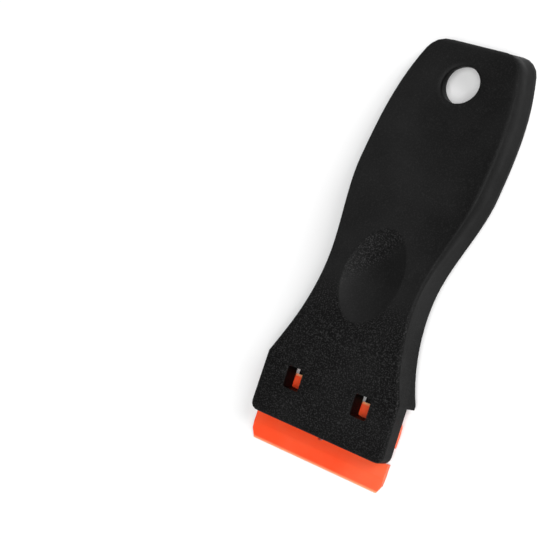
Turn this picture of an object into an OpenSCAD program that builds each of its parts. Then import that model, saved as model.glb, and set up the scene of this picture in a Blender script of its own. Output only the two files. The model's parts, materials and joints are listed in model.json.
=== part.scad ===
// Hand scraper that grips a double edged plastic blade.
// The handle is one moulding: a bowed shell, open at the back and stiffened by ribs, whose
// front wall runs on as a jaw plate. The blade slides between the jaw plate and two fingers.
// The drawing frame lies on the blade: z = 0 is the middle of the blade's thickness, y = 0
// is the tip of the jaw, and +z looks out of the front of the handle. The mould opens along
// z, so the walls, the windows and the hanging hole all run that way. The module at_rest()
// then lays the scraper down on its back, on the cutting edge and the end of the handle.

/* [Handle outline] */
// Length of the handle, measured along its bowed front
handle_l = 103.7; // [98:1:112]
// Length of the straight head, from the jaw tip to the corner where the sides turn in
head_l = 15.1; // [14.6:0.1:17]
// How far the jaw stands out past each end of the blade
jaw_side = 0.35; // [0:0.05:0.6]
// How much each side of the head draws in, from the jaw tip to the corner
head_draft = 0.35; // [0:0.05:0.8]
// Distance from the jaw tip to the narrow waist
waist_at = 39.7; // [36:0.5:44]
// Width of the waist
waist_w = 26.9; // [25:0.1:30]
// Distance from the jaw tip to the widest place of the grip
grip_at = 68.3; // [62:0.5:76]
// Width of the grip
grip_w = 35.5; // [33:0.1:39]
// Width of the hanging end before its corners are rounded
end_w = 24.7; // [20:0.1:31]
// How fast one side turns in behind the head, in width per length
corner_turn = 0.45; // [0.1:0.01:0.5]
// How fast one side turns in at the hanging end, in width per length
end_turn = 0.44; // [0.1:0.01:0.6]
// Corner radius of the jaw tip, seen from the front
jaw_corner_r = 2; // [1:0.1:2.5]
// Corner radius of the hanging end, seen from the front
end_corner_r = 3.7; // [2:0.1:5]

/* [Handle section] */
// Depth of the handle from its front to the rim of its open back
body_t = 7.5; // [7:0.1:9]
// Radius that rounds the front edges of the head and the waist
edge_r = 0.8; // [0.5:0.1:1.6]
// Width of the softer rounding along the front edges of the grip
grip_edge_w = 1.3; // [0.8:0.1:2]
// Depth of that rounding
grip_edge_d = 3.4; // [1:0.1:4]
// Depth of the parting line in the sides
parting_d = 4.6; // [4.4:0.1:5.4]
// Draft of each side in front of the parting line
front_draft = 0.15; // [0.05:0.05:0.3]
// How far the rim flares out behind the parting line, on each side and at the hanging end
rim_flare = 0.7; // [0.1:0.1:1]
// Length over which the flare grows towards the hanging end
flare_l = 8; // [6:0.5:12]
// Thickness of the front wall
front_wall = 2.2; // [2:0.1:3]
// Thickness of the side walls
side_wall = 2; // [1.6:0.1:2.6]
// Thickness of the walls that close the shell at the head and at the hanging end
end_wall = 2.4; // [1.8:0.1:3]
// Bevel between the front wall and the side walls, inside the shell
inner_bevel = 1; // [0.5:0.1:1.4]
// Draft of the hollow, on each side
hollow_draft = 0.2; // [0.1:0.05:0.4]

/* [Bow] */
// Slope of the jaw plate's front against the blade, so that the jaw thins to its tip
jaw_taper = 1.8; // [0.5:0.1:4]
// Angle between the front of the jaw plate and the start of the bow
neck_angle = 9.8; // [5:0.1:12]
// Radius that blends the jaw plate into the bow
neck_r = 40; // [20:1:50]
// Radius of the bow, seen from the side
bow_r = 310; // [200:1:400]
// Distance from the jaw tip to the place where the bow ends and the grip runs straight
bow_to = 52; // [45:1:70]

/* [Jaw and fingers] */
// Thickness of the jaw plate at its tip
jaw_tip_t = 4.3; // [3.6:0.1:4.6]
// Distance from the jaw tip to the step where the shell's rear half begins
step_at = 14; // [13.5:0.1:14.6]
// Width of each window in the jaw plate
window_w = 4.4; // [4:0.1:5]
// Length of each window
window_l = 5.5; // [5:0.1:6]
// Distance from the jaw tip to the windows
window_at = 8.2; // [7:0.1:8.6]
// Distance between the centres of the two windows
window_pitch = 19.5; // [17:0.1:21]
// Corner radius of the windows
window_r = 0.5; // [0.2:0.1:1]
// Thickness of the two fingers that press on the back of the blade
finger_t = 1.4; // [1.2:0.1:2]
// Lead in on the tip of each finger
finger_lead = 0.5; // [0.3:0.1:0.6]
// Width of the block that the blade stops against
stop_w = 9; // [6:0.5:12]
// Clearance between the blade and each plastic face that grips or stops it
grip_gap = 0.05; // [0.03:0.01:0.1]

/* [Thumb dish] */
// Distance from the jaw tip to the middle of the dish
dish_at = 41; // [38:0.1:44]
// Length of the dish
dish_l = 25; // [20:0.1:28]
// Width of the dish
dish_w = 15.8; // [12:0.1:18]
// Depth of the dish
dish_d = 1.7; // [1:0.1:2]

/* [Hanging hole] */
// Distance from the jaw tip to the middle of the hole
hole_at = 92.8; // [90:0.1:93.5]
// Radius of the hole
hole_r = 4.9; // [4:0.1:5]
// Radius of the rounded lip of the hole
hole_lip = 0.8; // [0.4:0.1:1]
// Width of the raised ring that stiffens the hole inside the shell
boss_wall = 2; // [1.6:0.1:2.4]
// Depth of that ring below the front of the handle, at the middle of the hole
boss_d = 3; // [2.8:0.1:4]

/* [Ribs] */
// Thickness of the ribs in the open back
rib_t = 1.4; // [1:0.1:2]
// How far the ribs stay below the rim
rib_set_back = 0.6; // [0.3:0.1:1.5]
// Distance from the jaw tip to the first cross rib
rib_first = 25; // [24:0.5:26]
// Distance between the first cross rib and the last
rib_span = 51; // [48:0.5:54]
// Number of cross ribs
rib_count = 3; // [2:1:5]

/* [Blade] */
// Length of each cutting edge
blade_l = 38.1; // [36:0.1:40]
// Width of the blade from edge to edge
blade_w = 19.05; // [18.5:0.05:19.5]
// Thickness of the flat middle of the blade
blade_t = 1.4; // [1.2:0.1:1.6]
// Width of the bevel along each edge
bevel_w = 4; // [3:0.1:4.4]
// Thickness of the cutting edges
edge_t = 0.2; // [0.1:0.05:0.4]
// How far the fitted blade stands out of the jaw
blade_out = 7.4; // [6.8:0.1:8]
// Length of the cut on each corner, along the cutting edge
corner_cut_l = 1; // [0.5:0.1:2]
// Width of the cut on each corner
corner_cut_w = 2.2; // [1:0.1:3]
// Width of the notch in each short end
notch_w = 4.2; // [3:0.1:5]
// Depth of the notch in each short end
notch_d = 4.2; // [3:0.1:5]
// Length of the slot in the middle of the blade
slot_l = 6.5; // [5:0.1:8]
// Width of the slot in the middle of the blade
slot_w = 1.4; // [1:0.1:2]
// Corner radius of that slot
slot_r = 0.4; // [0.2:0.1:0.5]

/* [Hidden] */
$fn = 48;

black_plastic = [0.16, 0.16, 0.17];
orange_plastic = [1, 0.31, 0.13];

// Places that follow from the sizes above
jaw_w = blade_l + 2 * jaw_side;
corner_w = jaw_w - 2 * head_draft;
mouth_h = blade_t + 2 * grip_gap;
jaw_under = mouth_h / 2;
neck_l = neck_r * neck_angle * PI / 180;
bow_from = head_l + neck_l;
stop_from = blade_w - blade_out + grip_gap;
core_from = step_at + end_wall;
core_to = handle_l - end_wall;
beyond = 2;

// Counts and shares that set how finely the shell is drawn
arc_steps = 4;
station_gap = 2.6;
station_count = ceil((handle_l - end_corner_r - head_l) / station_gap);

// The curve of the front, seen from the side: [y, z, slope] at a distance s along it.
// A straight head, a short tight bend, the long bow of the waist, and a straight grip.
function on_straight(s) = [s * cos(jaw_taper), jaw_under + jaw_tip_t + s * sin(jaw_taper), jaw_taper];
function along_arc(start, r, s) =
    let (slope = start[2] - s / r * 180 / PI)
    [start[0] + r * (sin(start[2]) - sin(slope)), start[1] + r * (cos(slope) - cos(start[2])), slope];
function along_line(start, s) = [start[0] + s * cos(start[2]), start[1] + s * sin(start[2]), start[2]];
neck_start = on_straight(head_l);
bow_start = along_arc(neck_start, neck_r, neck_l);
grip_start = along_arc(bow_start, bow_r, bow_to - bow_from);
function front_at(s) =
    s <= head_l ? on_straight(s)
    : s <= bow_from ? along_arc(neck_start, neck_r, s - head_l)
    : s <= bow_to ? along_arc(bow_start, bow_r, s - bow_from)
    : along_line(grip_start, s - bow_to);

// Share that rises smoothly from 0 to 1 while s runs from one place to another
function smooth_share(s, from, to) =
    let (t = max(0, min(1, (s - from) / (to - from))))
    t ^ 2 * (3 - 2 * t);

// A point at distance s along the front, x to the side and d deep below the front.
// Behind the parting line the hanging end flares out as the sides do.
function in_body(s, x, d) =
    let (
        p = front_at(s),
        behind = max(0, d - parting_d) / (body_t - parting_d)
    )
    [x, p[0] + rim_flare * behind * smooth_share(s, handle_l - flare_l, handle_l), p[1] - d];

// Smooth curve from value a to value b over a length, with the given slope at each end
function blend(a, b, slope_a, slope_b, length, t) =
    (2 * t ^ 3 - 3 * t ^ 2 + 1) * a + (t ^ 3 - 2 * t ^ 2 + t) * length * slope_a
    + (3 * t ^ 2 - 2 * t ^ 3) * b + (t ^ 3 - t ^ 2) * length * slope_b;

// Half the width of the handle at a distance s, before the corners are rounded
function half_width(s) =
    s < head_l ? jaw_w / 2 + (corner_w - jaw_w) / 2 * s / head_l
    : s < waist_at ? blend(corner_w / 2, waist_w / 2, -corner_turn, 0,
                           waist_at - head_l, (s - head_l) / (waist_at - head_l))
    : s < grip_at ? blend(waist_w / 2, grip_w / 2, 0, 0,
                          grip_at - waist_at, (s - waist_at) / (grip_at - waist_at))
    : blend(grip_w / 2, end_w / 2, 0, -end_turn, handle_l - grip_at, (s - grip_at) / (handle_l - grip_at));

// Width and depth of the rounded front edge, which grows from the waist to the grip
function edge_w_at(s) = edge_r + (grip_edge_w - edge_r) * smooth_share(s, waist_at, grip_at);
function edge_d_at(s) = edge_r + (grip_edge_d - edge_r) * smooth_share(s, waist_at, grip_at);

// How much a quarter round of width w and depth d takes off at a distance from its end
function round_off(w, d, distance) =
    distance >= w ? 0 : d * (1 - sqrt(1 - (1 - distance / w) ^ 2));
function corner_off(s) =
    round_off(jaw_corner_r, jaw_corner_r, s) + round_off(end_corner_r, end_corner_r, handle_l - s);
function edge_off(s) =
    round_off(edge_r, edge_r, s) + round_off(grip_edge_w, grip_edge_w, handle_l - s);

// Distances at which the shell has a section: close together in the rounded corners
quarter_steps = [for (i = [0:arc_steps]) 90 * i / arc_steps];
stations = concat(
    [for (a = quarter_steps) jaw_corner_r * (1 - cos(a))],
    [step_at, head_l],
    [for (i = [1:station_count - 1]) head_l + i * (handle_l - end_corner_r - head_l) / station_count],
    [for (a = quarter_steps) handle_l - end_corner_r * (1 - sin(a))]
);

// Right half of the outer section: rounded front edge, parting line and flared rim
function outer_half(s) =
    let (w = half_width(s) - corner_off(s), edge_w = edge_w_at(s), edge_d = edge_d_at(s))
    concat(
        [for (a = quarter_steps)
            [w - front_draft - edge_w * (1 - sin(a)), edge_off(s) + edge_d * (1 - cos(a))]],
        [[w, parting_d], [w + rim_flare, body_t]]
    );

// Right half of the hollow's section, which runs on past the rim
function hollow_half(s) =
    let (w = half_width(s) - side_wall)
    [[w - inner_bevel, front_wall], [w, front_wall + inner_bevel],
     [w + hollow_draft + rim_flare / 2, body_t + beyond]];

// Right half of a flat bar's section, which stands on edge along the bow
function bar_half(half_t, from_d, to_d) = [[half_t, from_d], [half_t, to_d]];

function last_of(list) = len(list) - 1;
function both_sides(half) = concat(half, [for (i = [last_of(half):-1:0]) [-half[i][0], half[i][1]]]);

// Solid through a list of sections, one per station along the front
module along_front(places, halves) {
    rings = [for (h = halves) both_sides(h)];
    n = len(rings[0]);
    points = [for (i = [0:last_of(places)]) for (p = rings[i]) in_body(places[i], p[0], p[1])];
    walls = [for (i = [0:last_of(places) - 1]) for (j = [0:n - 1])
        [i * n + j, (i + 1) * n + j, (i + 1) * n + (j + 1) % n, i * n + (j + 1) % n]];
    first_cap = [for (j = [0:n - 1]) j];
    last_cap = [for (j = [n - 1:-1:0]) last_of(places) * n + j];
    polyhedron(points, concat(walls, [first_cap, last_cap]), convexity = 8);
}

// Children stand on the front of the handle at a distance s, +y along it and +z out of it
module on_front(s) {
    p = front_at(s);
    translate([0, p[0], p[1]])
        rotate([p[2], 0, 0])
            children();
}

// Children stand at the same place and keep the directions of the blade's frame
module below_front(s) {
    p = front_at(s);
    translate([0, p[0], p[1]])
        children();
}

// Rectangle with true round corners, centred on the origin
module round_rectangle(w, l, r) {
    square([w - 2 * r, l], center = true);
    square([w, l - 2 * r], center = true);
    for (x = [-1, 1], y = [-1, 1])
        translate([x * (w / 2 - r), y * (l / 2 - r)])
            circle(r);
}

// Lying on its back, the scraper touches the ground with its cutting edge and its far rim
edge_low = [-blade_out, -edge_t / 2];
rim_end = in_body(handle_l, 0, body_t);
lie_angle = -atan2(rim_end[2] - edge_low[1], rim_end[1] - edge_low[0]);
function laid_y(y, z) = y * cos(lie_angle) - z * sin(lie_angle);
function laid_z(y, z) = y * sin(lie_angle) + z * cos(lie_angle);
y_low = laid_y(edge_low[0], edge_low[1]);
y_high = laid_y(rim_end[1], rim_end[2]);
ground = laid_z(edge_low[0], edge_low[1]);
module at_rest() {
    translate([0, -(y_low + y_high) / 2, -ground])
        rotate([lie_angle, 0, 0])
            children();
}

// Everything under the jaw plate is open up to the step
module mouth() {
    translate([-jaw_w, -jaw_w, jaw_under - 2 * body_t])
        cube([2 * jaw_w, jaw_w + step_at, 2 * body_t]);
}

// The two fingers under the windows, and the block that the blade stops against
module finger(width) {
    top = -jaw_under;
    rotate([90, 0, 90])
        linear_extrude(width, center = true)
            polygon([
                [window_at + finger_lead, top],
                [core_from, top],
                [core_from, top - finger_t],
                [window_at + finger_lead, top - finger_t],
                [window_at, top - finger_t + finger_lead],
                [window_at, top - finger_lead]
            ]);
}

module stop_block() {
    low = jaw_under + finger_t;
    translate([-stop_w / 2, stop_from, -low])
        cube([stop_w, core_from - stop_from, low + jaw_under + jaw_tip_t / 2]);
}

// The two windows go straight through the jaw plate, square to the blade
module windows() {
    for (x = [-1, 1])
        translate([x * window_pitch / 2, window_at + window_l / 2, -jaw_under])
            linear_extrude(jaw_under + jaw_tip_t + body_t)
                round_rectangle(window_w, window_l, window_r);
}

// Barrel whose underside makes an oval dish: deep along y, tight across x
function sagitta_r(chord, rise) = (chord ^ 2 / 4 + rise ^ 2) / (2 * rise);
module dish_barrel(grow) {
    long_r = sagitta_r(dish_l, dish_d);
    cross_r = sagitta_r(dish_w, dish_d);
    reach = cross_r + grow;
    on_front(dish_at)
        translate([0, 0, cross_r - dish_d])
            rotate([90, 0, 0])
                rotate_extrude($fn = 120)
                    intersection() {
                        translate([cross_r - long_r, 0])
                            circle(long_r + grow, $fn = 240);
                        translate([0, -dish_l])
                            square([reach, 2 * dish_l]);
                    }
}

module rib_along() {
    rib_to = hole_at - hole_r - boss_wall / 2;
    rib_from = core_from - end_wall / 2;
    steps = ceil((rib_to - rib_from) / station_gap);
    places = [for (i = [0:steps]) rib_from + i * (rib_to - rib_from) / steps];
    along_front(places, [for (s = places) bar_half(rib_t / 2, front_wall / 2, body_t - rib_set_back)]);
}

module ribs_across() {
    for (i = [0:rib_count - 1]) {
        s = rib_first + i * rib_span / (rib_count - 1);
        reach = half_width(s) - side_wall / 2;
        height = body_t - rib_set_back - front_wall / 2;
        below_front(s)
            translate([-reach, -rib_t / 2, -body_t + rib_set_back])
                cube([2 * reach, rib_t, height]);
    }
}

// The ring round the hole is a place where the hollow stays filled
module hole_ring() {
    below_front(hole_at)
        translate([0, 0, -boss_d])
            cylinder(r = hole_r + boss_wall, h = boss_d + beyond);
}

module hanging_hole() {
    below_front(hole_at)
        translate([0, 0, -body_t - beyond])
            cylinder(r = hole_r, h = body_t + 2 * beyond);
    on_front(hole_at)
        rotate_extrude()
            difference() {
                translate([0, -hole_lip])
                    square([hole_r + hole_lip, hole_lip + beyond]);
                translate([hole_r + hole_lip, -hole_lip])
                    circle(hole_lip);
            }
}

// One moulding: bowed shell with jaw plate, fingers, stop, ribs, boss, dish and windows
module handle() {
    hollow_places = [for (s = stations) if (s > core_from && s < core_to) s];
    hollow_stations = concat([core_from], hollow_places, [core_to]);
    color(black_plastic)
        at_rest()
            difference() {
                union() {
                    difference() {
                        along_front(stations, [for (s = stations) outer_half(s)]);
                        difference() {
                            along_front(hollow_stations, [for (s = hollow_stations) hollow_half(s)]);
                            dish_barrel(front_wall);
                            hole_ring();
                        }
                        mouth();
                    }
                    rib_along();
                    ribs_across();
                    for (x = [-1, 1])
                        translate([x * window_pitch / 2, 0, 0])
                            finger(window_w);
                    stop_block();
                }
                dish_barrel(0);
                hanging_hole();
                windows();
            }
}

// Double edged blade: flat middle, a bevel to each edge, end notches and a middle slot
module blade() {
    mid_y = blade_w / 2 - blade_out;
    flat = blade_w / 2 - bevel_w;
    color(orange_plastic)
        at_rest()
            translate([0, mid_y, 0])
                intersection() {
                    rotate([90, 0, 90])
                        linear_extrude(blade_l, center = true)
                            polygon([
                                [-blade_w / 2, -edge_t / 2],
                                [-flat, -blade_t / 2],
                                [flat, -blade_t / 2],
                                [blade_w / 2, -edge_t / 2],
                                [blade_w / 2, edge_t / 2],
                                [flat, blade_t / 2],
                                [-flat, blade_t / 2],
                                [-blade_w / 2, edge_t / 2]
                            ]);
                    translate([0, 0, -blade_t])
                        linear_extrude(2 * blade_t)
                            blade_outline();
                }
}

module blade_outline() {
    x = blade_l / 2;
    y = blade_w / 2;
    difference() {
        polygon([
            [-x, -y + corner_cut_w],
            [-x + corner_cut_l, -y],
            [x - corner_cut_l, -y],
            [x, -y + corner_cut_w],
            [x, y - corner_cut_w],
            [x - corner_cut_l, y],
            [-x + corner_cut_l, y],
            [-x, y - corner_cut_w]
        ]);
        for (side = [-1, 1]) {
            translate([side * (x - notch_d + notch_w / 2), 0])
                circle(d = notch_w);
            translate([side * (x - notch_d / 2 + notch_w / 2), 0])
                square([notch_d, notch_w], center = true);
        }
        round_rectangle(slot_w, slot_l, slot_r);
    }
}

handle();
blade();
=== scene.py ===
import json
import math

import bpy
from mathutils import Euler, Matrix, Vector


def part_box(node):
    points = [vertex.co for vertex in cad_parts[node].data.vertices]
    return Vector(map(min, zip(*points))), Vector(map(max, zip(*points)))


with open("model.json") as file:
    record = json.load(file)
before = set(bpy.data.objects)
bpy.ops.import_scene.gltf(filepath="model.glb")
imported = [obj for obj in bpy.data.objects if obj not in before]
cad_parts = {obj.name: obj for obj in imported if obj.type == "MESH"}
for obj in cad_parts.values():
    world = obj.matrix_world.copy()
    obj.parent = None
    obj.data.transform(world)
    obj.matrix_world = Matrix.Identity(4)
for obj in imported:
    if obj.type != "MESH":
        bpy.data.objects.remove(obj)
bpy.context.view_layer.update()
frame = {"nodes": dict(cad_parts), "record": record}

scene = bpy.context.scene
MM = 0.001

# The camera stands where the photograph was taken from: above the jaw and a little to its right,
# looking down on the front of a scraper that lies on its back.
CAMERA_AT_MM = (146.8018, -41.7585, 296.4930)
CAMERA_TURN_DEG = (17.35897, 26.75447, 26.42546)
CAMERA_LENS = 90.0
CAMERA_SEES_FROM = 10 * MM

camera = bpy.data.objects.new("camera", bpy.data.cameras.new("camera"))
camera.data.lens = CAMERA_LENS
camera.data.clip_start = CAMERA_SEES_FROM
camera.location = Vector(CAMERA_AT_MM) * MM
camera.rotation_euler = Euler([math.radians(turn) for turn in CAMERA_TURN_DEG])
scene.collection.objects.link(camera)
scene.camera = camera


# The handle is one injection moulding in black plastic: a bowed shell with an open, ribbed back,
# a thumb dish, a hanging hole and a flat jaw. Its head has a fine spark-eroded grain that ends at
# the waist, and the grip above it is smoother and a little smudged from being held.
HANDLE_BLACK = (0.0044, 0.0044, 0.0044, 1)
HANDLE_PALE_AND_LIT = (0.0135, 0.0135, 0.0136, 1)
HANDLE_SPECK = (0.032, 0.032, 0.032, 1)
HANDLE_RUBBED = (0.020, 0.020, 0.020, 1)
HANDLE_PAINTED_SHADE = (0.0008, 0.0008, 0.0008, 1)
HANDLE_ROUGHNESS = 0.55
HANDLE_ROUGHNESS_SPREAD = 0.22
HANDLE_SPECULAR = 0.09
HANDLE_CLOUDS_PER_METRE = 90.0
DISH_Y = -8.8 * MM
DISH_HALF_WIDTH = 7.9 * MM
DISH_HALF_LENGTH = 12.4 * MM


def join(tree, source, target):
    tree.links.new(source, target)


def give(tree, socket, value):
    """Feeds a socket from another socket, or sets it to a plain value."""
    if isinstance(value, bpy.types.NodeSocket):
        join(tree, value, socket)
    else:
        socket.default_value = value


def maths(tree, operation, first, second=0.0, third=0.0):
    node = tree.nodes.new("ShaderNodeMath")
    node.operation = operation
    for socket, value in zip(node.inputs, (first, second, third)):
        give(tree, socket, value)
    return node.outputs[0]


def vector_maths(tree, operation, first, second):
    node = tree.nodes.new("ShaderNodeVectorMath")
    node.operation = operation
    give(tree, node.inputs[0], first)
    give(tree, node.inputs[1], second)
    return node.outputs


def split(tree, vector):
    node = tree.nodes.new("ShaderNodeSeparateXYZ")
    join(tree, vector, node.inputs[0])
    return node.outputs


def new_group(name, kind, inputs, outputs):
    """Starts a node group with named sockets; each input gives its kind and usual value."""
    group = bpy.data.node_groups.new(name, kind)
    for label, socket_kind, usual in inputs:
        socket = group.interface.new_socket(name=label, in_out="INPUT", socket_type=socket_kind)
        if usual is not None:
            socket.default_value = usual
    for label, socket_kind in outputs:
        group.interface.new_socket(name=label, in_out="OUTPUT", socket_type=socket_kind)
    return group, group.nodes.new("NodeGroupInput"), group.nodes.new("NodeGroupOutput")


# The mould opens along one direction, square to the blade, and the shell's walls follow it.
# An edge of the shell is crisp if it turns by more than these. The parting line is looked for
# on the walls, and the dish's rim on the front, in a box a little larger than the dish.
MOULD_AXIS = frame["record"]["mounts"][0]["axis"]
SHARP_FROM = math.radians(32)
PARTING_FROM = math.radians(9.5)
WALL_RISES_UP_TO = 0.09
DISH_RIM_FROM = math.radians(9)
DISH_BOX_MARGIN = 1.1
FRONT_RISES_FROM = 0.8


def crisp_edges(group):
    """Mask of the shell's real edges, its parting line and the rim of the dish."""
    angle = group.nodes.new("GeometryNodeInputMeshEdgeAngle").outputs["Unsigned Angle"]
    facing = group.nodes.new("GeometryNodeInputNormal").outputs["Normal"]
    rise = vector_maths(group, "DOT_PRODUCT", facing, MOULD_AXIS)["Value"]
    on_wall = maths(group, "LESS_THAN", maths(group, "ABSOLUTE", rise), WALL_RISES_UP_TO)
    bent = maths(group, "GREATER_THAN", angle, PARTING_FROM)
    parting = maths(group, "MULTIPLY", bent, on_wall)
    where = split(group, group.nodes.new("GeometryNodeInputPosition").outputs[0])
    sideways = maths(group, "ABSOLUTE", where["X"])
    beside = maths(group, "LESS_THAN", sideways, DISH_HALF_WIDTH * DISH_BOX_MARGIN)
    lengthways = maths(group, "ABSOLUTE", maths(group, "SUBTRACT", where["Y"], DISH_Y))
    along_dish = maths(group, "LESS_THAN", lengthways, DISH_HALF_LENGTH * DISH_BOX_MARGIN)
    on_front = maths(group, "GREATER_THAN", rise, FRONT_RISES_FROM)
    rim = maths(group, "MULTIPLY", maths(group, "MULTIPLY", beside, along_dish), on_front)
    rim = maths(group, "MULTIPLY", rim, maths(group, "GREATER_THAN", angle, DISH_RIM_FROM))
    sharp = maths(group, "MAXIMUM", maths(group, "GREATER_THAN", angle, SHARP_FROM), parting)
    return maths(group, "MAXIMUM", sharp, rim)


# The facets' corners that lie this close are one point.
SAME_POINT = 0.001 * MM


def moulded_shading():
    """Modifier that shades the shell's facets as smooth walls and keeps its real edges crisp."""
    group, given, result = new_group("moulded_shading", "GeometryNodeTree",
        [("Geometry", "NodeSocketGeometry", None)], [("Geometry", "NodeSocketGeometry")])
    group.is_modifier = True
    bare = group.nodes.new("GeometryNodeRemoveAttribute")
    bare.inputs["Name"].default_value = "custom_normal"
    join(group, given.outputs[0], bare.inputs["Geometry"])
    merge = group.nodes.new("GeometryNodeMergeByDistance")
    merge.inputs["Distance"].default_value = SAME_POINT
    join(group, bare.outputs[0], merge.inputs["Geometry"])
    smooth_faces = group.nodes.new("GeometryNodeSetShadeSmooth")
    join(group, merge.outputs[0], smooth_faces.inputs["Geometry"])
    smooth_edges = group.nodes.new("GeometryNodeSetShadeSmooth")
    smooth_edges.domain = "EDGE"
    join(group, smooth_faces.outputs[0], smooth_edges.inputs["Geometry"])
    crisp = group.nodes.new("GeometryNodeSetShadeSmooth")
    crisp.domain = "EDGE"
    crisp.inputs["Shade Smooth"].default_value = False
    join(group, smooth_edges.outputs[0], crisp.inputs["Geometry"])
    join(group, crisp_edges(group), crisp.inputs["Selection"])
    join(group, crisp.outputs[0], result.inputs[0])
    return group


# A range, here and below, is its start and its end, and then the amount at each of them.
# The specks are the highest tips of a noise that lies aside from the grain's own. Their middle
# amount is taken off in the plastic, so that they don't lighten it as a whole.
SPECK_TIPS = (0.48, 0.76, 0.0, 1.0)
SPECK_MIDDLE = 0.13
SPECKS_ASIDE = (0.31, 0.17, 0.23)


def ranged(tree, value, start, end, amount_at_start, amount_at_end):
    node = tree.nodes.new("ShaderNodeMapRange")
    for label, number in (("From Min", start), ("From Max", end),
                          ("To Min", amount_at_start), ("To Max", amount_at_end)):
        node.inputs[label].default_value = number
    join(tree, value, node.inputs["Value"])
    return node.outputs[0]


def noise(tree, point, scale, detail, roughness=0.5):
    node = tree.nodes.new("ShaderNodeTexNoise")
    node.inputs["Detail"].default_value = detail
    node.inputs["Roughness"].default_value = roughness
    join(tree, point, node.inputs["Vector"])
    join(tree, scale, node.inputs["Scale"])
    return node.outputs[0]


def moulding_grain():
    """Group: a fine spark-eroded grain and its bright specks, from a point in metres."""
    group, given, result = new_group("moulding_grain", "ShaderNodeTree",
        [("Point", "NodeSocketVector", None), ("Grains per metre", "NodeSocketFloat", 2000.0)],
        [("Height", "NodeSocketFloat"), ("Speck", "NodeSocketFloat")])
    point = given.outputs["Point"]
    scale = given.outputs["Grains per metre"]
    aside = vector_maths(group, "ADD", point, SPECKS_ASIDE)[0]
    tips = noise(group, aside, scale, detail=1.0)
    join(group, noise(group, point, scale, detail=2.0, roughness=0.6), result.inputs["Height"])
    join(group, ranged(group, tips, *SPECK_TIPS), result.inputs["Speck"])
    return group


# The rubs run lengthways, a little aslant.
RUB_SLANT = math.radians(-22)
RUB_STRETCH = (9, 1.6, 4)


def held_smudges():
    """Group: soft clouds and long faint rubs of a part that has been handled."""
    group, given, result = new_group("held_smudges", "ShaderNodeTree",
        [("Point", "NodeSocketVector", None), ("Clouds per metre", "NodeSocketFloat", 90.0)],
        [("Cloud", "NodeSocketFloat"), ("Rub", "NodeSocketFloat")])
    point = given.outputs["Point"]
    scale = given.outputs["Clouds per metre"]
    stretch = group.nodes.new("ShaderNodeMapping")
    stretch.inputs["Rotation"].default_value = (0, 0, RUB_SLANT)
    stretch.inputs["Scale"].default_value = RUB_STRETCH
    join(group, point, stretch.inputs["Vector"])
    rub = noise(group, stretch.outputs[0], scale, detail=4.0, roughness=0.65)
    join(group, noise(group, point, scale, detail=3.0), result.inputs["Cloud"])
    join(group, rub, result.inputs["Rub"])
    return group


grain_group = moulding_grain()
smudge_group = held_smudges()


def placed_group(tree, group, point, label, number):
    """Places a node group in a material, at a point and with its own scale."""
    node = tree.nodes.new("ShaderNodeGroup")
    node.node_tree = group
    join(tree, point, node.inputs["Point"])
    node.inputs[label].default_value = number
    return node.outputs


# The dish is an oval. A patch of grain is left at its upper left, and its lower left is painted
# paler as light falling there. Each of these two directions is given by its parts upwards and to
# the right.
IN_DISH = (0.92, 1.02, 1.0, 0.0)
DISH_UP_LEFT = (0.8, -0.6)
DISH_LOW_LEFT = (-0.81, -0.58)


def dish_places(tree, axes):
    """Mask of the oval dish, and how far a point lies to its upper left and its lower left."""
    across = maths(tree, "DIVIDE", axes["X"], DISH_HALF_WIDTH)
    along = maths(tree, "SUBTRACT", axes["Y"], DISH_Y)
    along = maths(tree, "DIVIDE", along, DISH_HALF_LENGTH)
    from_middle = maths(tree, "MULTIPLY_ADD", across, across, maths(tree, "MULTIPLY", along, along))
    in_dish = ranged(tree, from_middle, *IN_DISH)
    sides = [maths(tree, "MULTIPLY_ADD", along, upward, maths(tree, "MULTIPLY", across, rightward))
             for upward, rightward in (DISH_UP_LEFT, DISH_LOW_LEFT)]
    return in_dish, *sides


# The grain is full on the head and fades towards the grip, which keeps a share of it. It is
# weaker on the steep walls, along which the mould slides off.
GRAIN_PER_METRE = 3000
GRAIN_DEPTH = 0.16 * MM
GRAIN_ENDS_Y = (-17 * MM, -11 * MM)
GRIP_GRAIN = 0.3
DISH_PATCH = (0.2, 0.45, 0.25, 1.15)
GRAIN_BY_FACING = (0.2, 0.7, 0.3, 1.0)


def grain_strength(tree, axes, in_dish, up_left, facing_up):
    """How strong the grain and its specks are at a point."""
    outside = maths(tree, "MULTIPLY", ranged(tree, axes["Y"], *GRAIN_ENDS_Y, 1.0, GRIP_GRAIN),
                    maths(tree, "SUBTRACT", 1.0, in_dish))
    strength = maths(tree, "MULTIPLY_ADD", ranged(tree, up_left, *DISH_PATCH), in_dish, outside)
    return maths(tree, "MULTIPLY", strength, ranged(tree, facing_up, *GRAIN_BY_FACING))


# The plastic is paler in clouds of smudges where it has been handled, and on the grip, less in the
# dish and towards the far right corner. The lower left of the dish is painted paler as light
# falling on that side of the hollow.
CLOUD_WEAR = (0.35, 0.75, 0.0, 0.4)
DISH_PAINTED_LIGHT = (-0.1, 0.8, 0.0, 0.75)
GRIP_PALING = 0.48
FAR_CORNER_SLANT = 0.3
GRIP_PALING_TO_CORNER = (2 * MM, 22 * MM, 1.0, 0.1)
GRIP_PALING_IN_DISH = (0.0, 1.0, 1.0, 0.35)


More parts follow.
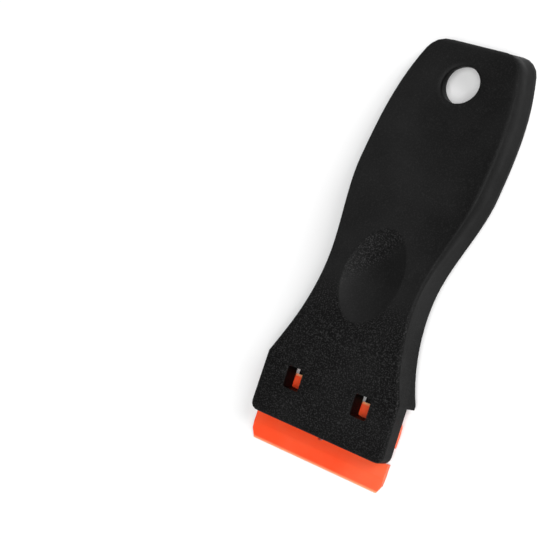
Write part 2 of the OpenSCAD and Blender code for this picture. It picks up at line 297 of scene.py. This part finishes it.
def paling_and_painted_light(tree, axes, in_dish, low_left, cloud):
    """How much paler the plastic is: smudge clouds, the paler grip, and painted light on the dish's
    lower left.
    """
    dish_light = maths(tree, "MULTIPLY", in_dish, ranged(tree, low_left, *DISH_PAINTED_LIGHT))
    to_corner = maths(tree, "MULTIPLY_ADD", axes["Y"], FAR_CORNER_SLANT, axes["X"])
    grip_paling = ranged(tree, axes["Y"], *GRAIN_ENDS_Y, 0.0, GRIP_PALING)
    grip_paling = maths(tree, "MULTIPLY", grip_paling, ranged(tree, to_corner, *GRIP_PALING_TO_CORNER))
    grip_paling = maths(tree, "MULTIPLY", grip_paling, ranged(tree, in_dish, *GRIP_PALING_IN_DISH))
    return maths(tree, "ADD", ranged(tree, cloud, *CLOUD_WEAR), maths(tree, "ADD", grip_paling, dish_light))


# Little light reaches the steep walls around the hanging hole and in the jaw's two windows, so they
# are painted near-black as shade.
HOLE_MIDDLE = (0, 43.6 * MM, 0)
HOLE_REACH = 7 * MM
WINDOW_HALF_SPAN = 15 * MM
WINDOWS_END_Y = -30 * MM
STEEP_BY_FACING = (0.35, 0.7, 1.0, 0.0)


def painted_wall_shade(tree, point, axes, facing_up):
    """Mask of the painted shade on the steep walls of the hole and of the windows."""
    flat = vector_maths(tree, "MULTIPLY", point, (1, 1, 0))[0]
    from_hole = vector_maths(tree, "DISTANCE", flat, HOLE_MIDDLE)["Value"]
    in_hole = maths(tree, "LESS_THAN", from_hole, HOLE_REACH)
    inside = maths(tree, "LESS_THAN", maths(tree, "ABSOLUTE", axes["X"]), WINDOW_HALF_SPAN)
    at_windows = maths(tree, "LESS_THAN", axes["Y"], WINDOWS_END_Y)
    in_window = maths(tree, "MULTIPLY", inside, at_windows)
    steep = ranged(tree, maths(tree, "ABSOLUTE", facing_up), *STEEP_BY_FACING)
    return maths(tree, "MULTIPLY", steep, maths(tree, "MAXIMUM", in_hole, in_window))


# The mould rounds the edges, tightly on the head and softly on the grip, and they are rubbed
# where the rounding turns the surface, by the cosine of that turn.
EDGE_SAMPLES = 8
EDGE_ROUNDING = (5 * MM, 18 * MM, 0.25 * MM, 1.4 * MM)
EDGE_RUB = (0.995, 0.90, 0.0, 0.8)


def mixed(tree, factor, first, second, clamped=True):
    """Blends two colours, each given as a value or a socket."""
    node = tree.nodes.new("ShaderNodeMix")
    node.data_type = "RGBA"
    node.clamp_factor = clamped
    give(tree, node.inputs["Factor"], factor)
    give(tree, node.inputs["A"], first)
    give(tree, node.inputs["B"], second)
    return node.outputs["Result"]


def new_material(name):
    material = bpy.data.materials.new(name)
    material.use_nodes = True
    return material, material.node_tree, material.node_tree.nodes["Principled BSDF"]


def moulded_black():
    material, tree, plastic = new_material("moulded_black")
    point = tree.nodes.new("ShaderNodeTexCoord").outputs["Object"]
    axes = split(tree, point)
    shape = tree.nodes.new("ShaderNodeNewGeometry").outputs["Normal"]
    facing_up = split(tree, shape)["Z"]
    grain = placed_group(tree, grain_group, point, "Grains per metre", GRAIN_PER_METRE)
    smudge = placed_group(tree, smudge_group, point, "Clouds per metre", HANDLE_CLOUDS_PER_METRE)
    in_dish, up_left, low_left = dish_places(tree, axes)
    strength = grain_strength(tree, axes, in_dish, up_left, facing_up)
    paling_and_light = paling_and_painted_light(tree, axes, in_dish, low_left, smudge["Cloud"])
    wall_shade = painted_wall_shade(tree, point, axes, facing_up)

    rounded = tree.nodes.new("ShaderNodeBevel")
    rounded.samples = EDGE_SAMPLES
    join(tree, ranged(tree, axes["Y"], *EDGE_ROUNDING), rounded.inputs["Radius"])
    turned = vector_maths(tree, "DOT_PRODUCT", rounded.outputs[0], shape)["Value"]

    specks = maths(tree, "SUBTRACT", grain["Speck"], SPECK_MIDDLE)
    specks = maths(tree, "MULTIPLY", specks, strength)
    # Paler in smudges and on the grip, with painted light on the dish's lower left.
    colour = mixed(tree, paling_and_light, HANDLE_BLACK, HANDLE_PALE_AND_LIT, clamped=False)
    colour = mixed(tree, specks, colour, HANDLE_SPECK, clamped=False)
    colour = mixed(tree, ranged(tree, turned, *EDGE_RUB), colour, HANDLE_RUBBED)
    # Painted shade on the steep walls of the hole and the windows.
    colour = mixed(tree, wall_shade, colour, HANDLE_PAINTED_SHADE)
    join(tree, colour, plastic.inputs["Base Color"])

    smoothest = HANDLE_ROUGHNESS - HANDLE_ROUGHNESS_SPREAD / 2
    rough = maths(tree, "MULTIPLY_ADD", smudge["Rub"], HANDLE_ROUGHNESS_SPREAD, smoothest)
    join(tree, rough, plastic.inputs["Roughness"])
    bump = tree.nodes.new("ShaderNodeBump")
    bump.inputs["Distance"].default_value = GRAIN_DEPTH
    join(tree, maths(tree, "MULTIPLY", grain["Height"], strength), bump.inputs["Height"])
    join(tree, rounded.outputs[0], bump.inputs["Normal"])
    join(tree, bump.outputs[0], plastic.inputs["Normal"])
    plastic.inputs["Specular IOR Level"].default_value = HANDLE_SPECULAR
    return material


handle = frame["nodes"]["handle"]
handle.modifiers.new("moulded_shading", "NODES").node_group = moulded_shading()
weights = handle.modifiers.new("face_weights", "WEIGHTED_NORMAL")
weights.keep_sharp = True
handle.data.materials.clear()
handle.data.materials.append(moulded_black())


# The blade is a double-edged scraper blade moulded in hard orange plastic, the size of a steel
# razor blade. Its flat middle has a slot, and it is bevelled down to two thin edges, where the
# plastic lets light through; that light is painted there as a paler colour. It is held by its own
# fit in the jaw.
BLADE_ORANGE = (1.0, 0.080, 0.020, 1)
BLADE_EDGE = (1.0, 0.42, 0.22, 1)
BLADE_ROUGHNESS = 0.42
BLADE_ROUGHNESS_SPREAD = 0.2
BLADE_SPECULAR = 0.2
BLADE_GRAIN_PER_METRE = 1600.0
BLADE_GRAIN_DEPTH = 0.006 * MM
BLADE_CLOUDS_PER_METRE = 160.0
BLADE_CLOUDS = (0.3, 0.7, -0.02, 0.05)
BLADE_PALE_END = (6 * MM, 19 * MM, 0.0, 0.16)
BLADE_HALF_DEPTH = 9.525 * MM
BLADE_EDGE_BAND = 0.7 * MM
BLADE_THIN = (BLADE_HALF_DEPTH - BLADE_EDGE_BAND, BLADE_HALF_DEPTH, 0.0, 1.0)
BLADE_ROUNDING = 0.15 * MM
BLADE_ROUNDING_SAMPLES = 4
BLADE_LETS_LIGHT_IN = 0.25
BLADE_LIGHT_DEPTH = 0.6 * MM
BLADE_LIGHT_COLOURS = (1.0, 0.25, 0.1)
SLIDE_OUT = frame["record"]["behaviour"]["joints"][0]["axis"]


def blade_orange(centre):
    material, tree, plastic = new_material("blade_orange")
    point = tree.nodes.new("ShaderNodeTexCoord").outputs["Object"]
    grain = placed_group(tree, grain_group, point, "Grains per metre", BLADE_GRAIN_PER_METRE)
    smudge = placed_group(tree, smudge_group, point, "Clouds per metre", BLADE_CLOUDS_PER_METRE)

    from_centre = vector_maths(tree, "SUBTRACT", point, centre)[0]
    outwards = vector_maths(tree, "DOT_PRODUCT", from_centre, SLIDE_OUT)["Value"]
    # The two thin edges are painted paler as light let through the plastic.
    thin = ranged(tree, maths(tree, "ABSOLUTE", outwards), *BLADE_THIN)
    cloud = ranged(tree, smudge["Cloud"], *BLADE_CLOUDS)
    one_end = ranged(tree, split(tree, point)["X"], *BLADE_PALE_END)
    pale = maths(tree, "ADD", thin, maths(tree, "ADD", cloud, one_end))
    join(tree, mixed(tree, pale, BLADE_ORANGE, BLADE_EDGE), plastic.inputs["Base Color"])

    smoothest = BLADE_ROUGHNESS - BLADE_ROUGHNESS_SPREAD / 2
    rough = maths(tree, "MULTIPLY_ADD", smudge["Rub"], BLADE_ROUGHNESS_SPREAD, smoothest)
    join(tree, rough, plastic.inputs["Roughness"])
    rounded = tree.nodes.new("ShaderNodeBevel")
    rounded.samples = BLADE_ROUNDING_SAMPLES
    rounded.inputs["Radius"].default_value = BLADE_ROUNDING
    bump = tree.nodes.new("ShaderNodeBump")
    bump.inputs["Distance"].default_value = BLADE_GRAIN_DEPTH
    join(tree, grain["Height"], bump.inputs["Height"])
    join(tree, rounded.outputs[0], bump.inputs["Normal"])
    join(tree, bump.outputs[0], plastic.inputs["Normal"])
    plastic.inputs["Subsurface Weight"].default_value = BLADE_LETS_LIGHT_IN
    plastic.inputs["Subsurface Radius"].default_value = BLADE_LIGHT_COLOURS
    plastic.inputs["Subsurface Scale"].default_value = BLADE_LIGHT_DEPTH
    plastic.inputs["Specular IOR Level"].default_value = BLADE_SPECULAR
    return material


blade = frame["nodes"]["blade"]
blade_low, blade_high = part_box("blade")
blade.data.materials.clear()
blade.data.materials.append(blade_orange((blade_low + blade_high) / 2))


# The floor is a plain white sheet, wide enough to fill every view. To the camera it is lifted to
# the photograph's white, more so far off, where the lamps are weaker, and it keeps the soft
# shadow beside the head.
FLOOR_HALF = 3.0
FLOOR_CORNERS = ((-1, -1), (1, -1), (1, 1), (-1, 1))
FLOOR_WHITE = (0.80, 0.80, 0.80, 1)
FLOOR_ROUGHNESS = 0.8
FLOOR_SPECULAR = 0.1
FLOOR_LIFT = (0.08, 0.80, 0.16, 0.75)


def white_floor():
    material, tree, sheet = new_material("white_floor")
    sheet.inputs["Base Color"].default_value = FLOOR_WHITE
    sheet.inputs["Roughness"].default_value = FLOOR_ROUGHNESS
    sheet.inputs["Specular IOR Level"].default_value = FLOOR_SPECULAR
    sheet.inputs["Emission Color"].default_value = (1, 1, 1, 1)
    rays = tree.nodes.new("ShaderNodeLightPath").outputs
    seen = maths(tree, "MAXIMUM", rays["Is Glossy Ray"], rays["Is Transmission Ray"])
    seen = maths(tree, "MAXIMUM", seen, rays["Is Camera Ray"])
    point = tree.nodes.new("ShaderNodeTexCoord").outputs["Object"]
    away = vector_maths(tree, "DISTANCE", point, (0, 0, 0))["Value"]
    lift = ranged(tree, away, *FLOOR_LIFT)
    join(tree, maths(tree, "MULTIPLY", seen, lift), sheet.inputs["Emission Strength"])
    return material


floor_points = [(x * FLOOR_HALF, y * FLOOR_HALF, 0) for x, y in FLOOR_CORNERS]
floor_mesh = bpy.data.meshes.new("floor")
floor_mesh.from_pydata(floor_points, [], [(0, 1, 2, 3)])
floor = bpy.data.objects.new("floor", floor_mesh)
floor.data.materials.append(white_floor())
scene.collection.objects.link(floor)


# The light is a soft studio: a box high on the near right, one on the far right that shapes the
# dish and the rounded edges, and a white room that is brightest near the horizon and at the back.
# A box has its place and width in metres and its power in watts.
SOFTBOXES = (
    ("near_right", (0.38, -0.26, 0.89), 0.45, 6.9),
    ("far_right", (0.68, 0.38, 0.62), 0.50, 6.0),
)
ROOM_BY_HEIGHT = (0.0, 0.9, 0.55, 0.15)
BACK_WALL_BY_HEIGHT = (0.1, 0.7, 0.4, 0.0)
BACK_WALL_BY_DEPTH = (0.2, 1.0, 0.0, 1.0)

for name, place, width, watts in SOFTBOXES:
    lamp = bpy.data.objects.new(name, bpy.data.lights.new(name, "AREA"))
    lamp.data.size = width
    lamp.data.energy = watts
    lamp.location = place
    lamp.rotation_euler = (-Vector(place)).to_track_quat("-Z", "Y").to_euler()
    scene.collection.objects.link(lamp)

room = bpy.data.worlds.new("room")
scene.world = room
room.use_nodes = True
sky = room.node_tree
looking = split(sky, sky.nodes.new("ShaderNodeTexCoord").outputs["Generated"])
back_wall = maths(sky, "MULTIPLY", ranged(sky, looking["Z"], *BACK_WALL_BY_HEIGHT),
                  ranged(sky, looking["Y"], *BACK_WALL_BY_DEPTH))
glow = maths(sky, "ADD", ranged(sky, looking["Z"], *ROOM_BY_HEIGHT), back_wall)
seen_by_camera = sky.nodes.new("ShaderNodeLightPath").outputs["Is Camera Ray"]
background = sky.nodes["Background"]
background.inputs["Color"].default_value = (1, 1, 1, 1)
join(sky, maths(sky, "MAXIMUM", glow, seen_by_camera), background.inputs["Strength"])
scene.view_settings.view_transform = "Standard"
